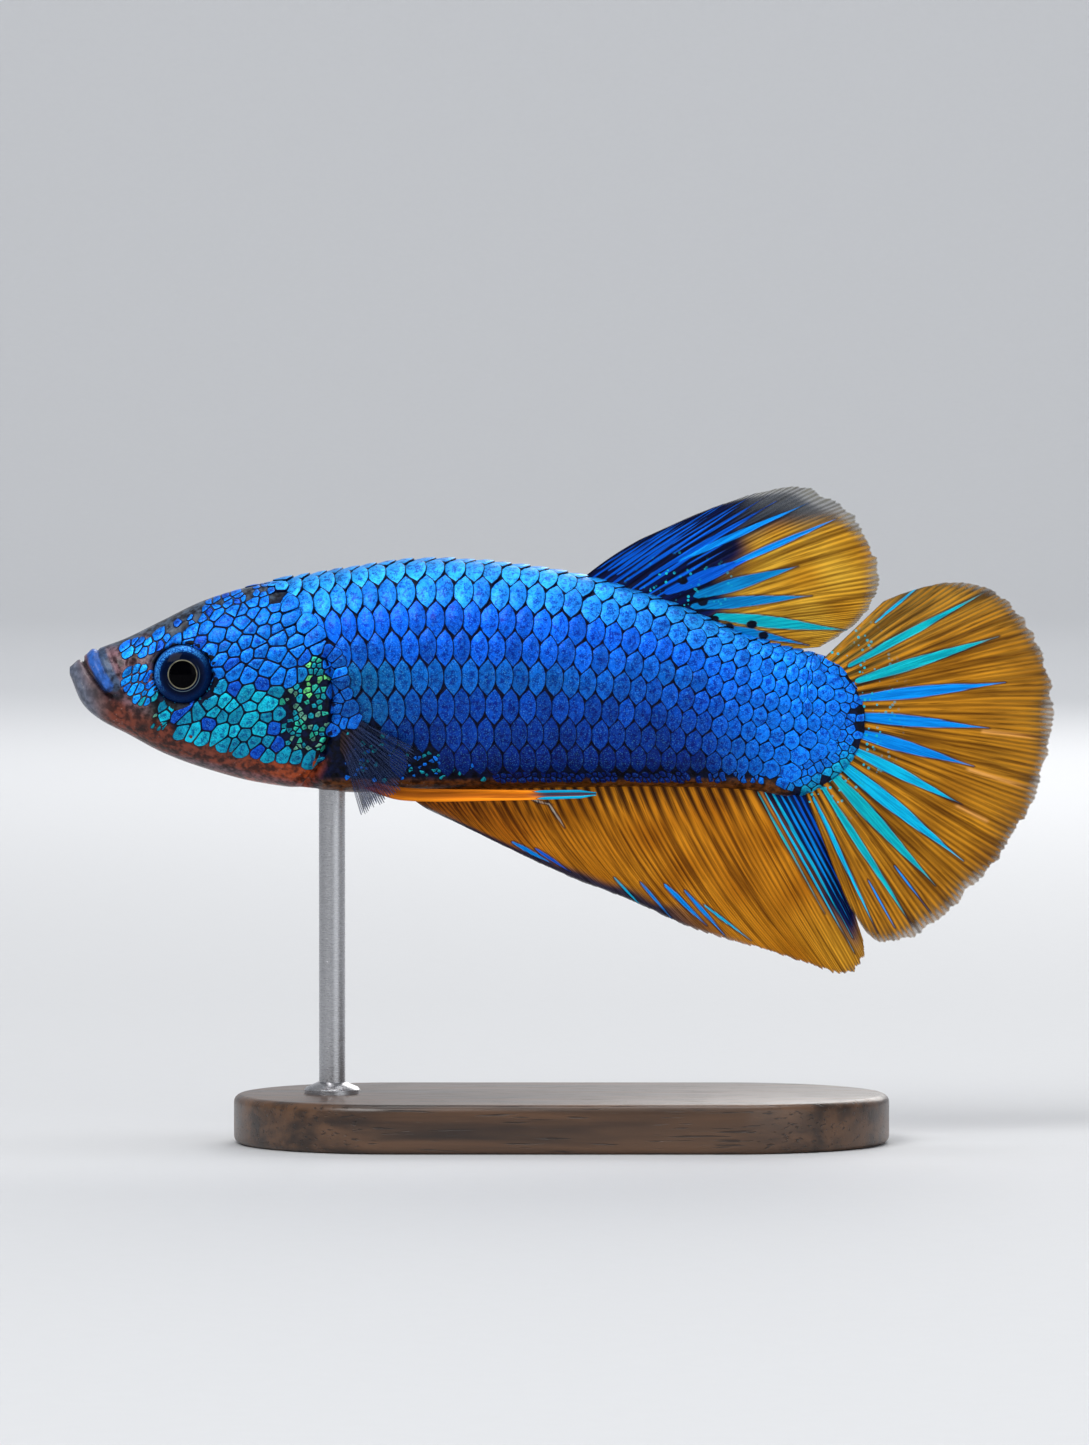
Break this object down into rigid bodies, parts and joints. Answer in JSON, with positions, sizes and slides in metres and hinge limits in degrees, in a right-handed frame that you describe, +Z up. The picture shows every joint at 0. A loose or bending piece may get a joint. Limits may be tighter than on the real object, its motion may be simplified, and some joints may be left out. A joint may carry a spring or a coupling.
{
  "type": "betta fish display model",
  "caption": "Life-size still model of a short-finned male betta fish, blue with amber fins, held level by one rod on a flat oval stand.",
  "frame": {"origin": "centre of the stand's underside, at the middle of the model's bounding box", "axes": "+X from the fish's mouth towards its tail, +Y towards its right side, +Z up"},
  "size_m": [0.0601, 0.02, 0.0401],
  "materials": {
    "body_scales": "wet iridescent royal blue scales with dark navy rims",
    "head_scales": "iridescent blue and teal scale patches on dark skin",
    "throat_skin": "damp mottled rust-brown skin",
    "eye": "wet black pupil, thin pale gold ring and dark blue iris",
    "fin_membrane": "thin rayed amber membrane with cyan and blue streaks",
    "clear_membrane": "clear smoky rayed membrane",
    "stand_wood": "satin oiled walnut",
    "stand_steel": "brushed"
  },
  "bodies": {
    "root": {"head": "head_scales", "lower_jaw": "throat_skin", "gill_cover_left": "head_scales", "gill_cover_right": "head_scales", "trunk": "body_scales", "tail_stalk": "body_scales", "eye_left": "eye", "eye_right": "eye", "dorsal_fin": "fin_membrane", "anal_fin": "fin_membrane", "caudal_fin": "fin_membrane", "pelvic_fin_left": "fin_membrane", "pelvic_fin_right": "fin_membrane", "pectoral_fin_left": "clear_membrane", "pectoral_fin_right": "clear_membrane", "stand_base": "stand_wood", "stand_rod": "stand_steel"}
  },
  "joints": []
}
